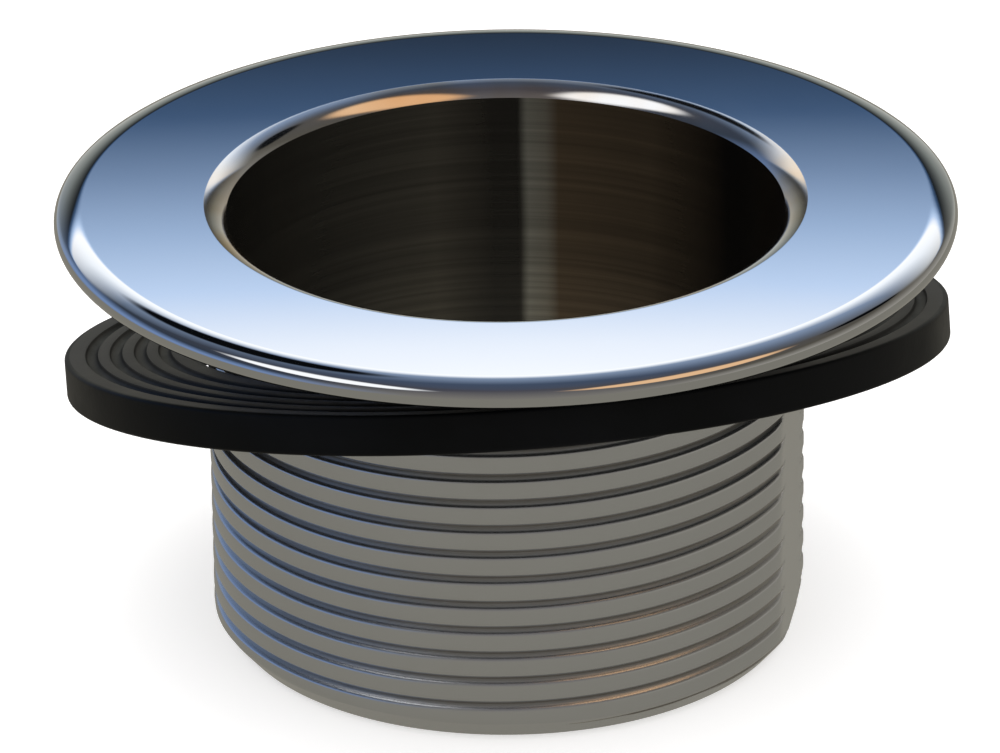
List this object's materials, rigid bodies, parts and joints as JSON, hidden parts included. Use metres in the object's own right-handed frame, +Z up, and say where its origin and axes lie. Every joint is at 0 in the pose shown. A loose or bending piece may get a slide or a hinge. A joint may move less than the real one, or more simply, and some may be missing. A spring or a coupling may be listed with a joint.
{
  "type": "thru hull fitting",
  "caption": "Flanged through-hull fitting with a threaded barrel, an open bore and a loose ribbed rubber gasket under the flange.",
  "frame": {"origin": "centre of the barrel's lower end, on the plane the fitting stands on", "axes": "+Z up along the bore, from the threaded end to the flange; +Y away from the front, towards the side where the tipped gasket hangs low; +X to the right, towards the narrow flat on the thread"},
  "size_m": [0.072, 0.072, 0.0365],
  "materials": {
    "plated_brass": "bright chrome plate over turned brass",
    "gasket_rubber": "moulded, matt"
  },
  "bodies": {
    "fitting": {"flanged_barrel": "plated_brass"},
    "gasket": {"ribbed_gasket": "gasket_rubber"}
  },
  "joints": [
    {"name": "gasket_slide", "type": "slide", "parent": "fitting", "child": "gasket", "axis": [0, 0, 1], "range_m": [-0.036, 0.0003]}
  ]
}
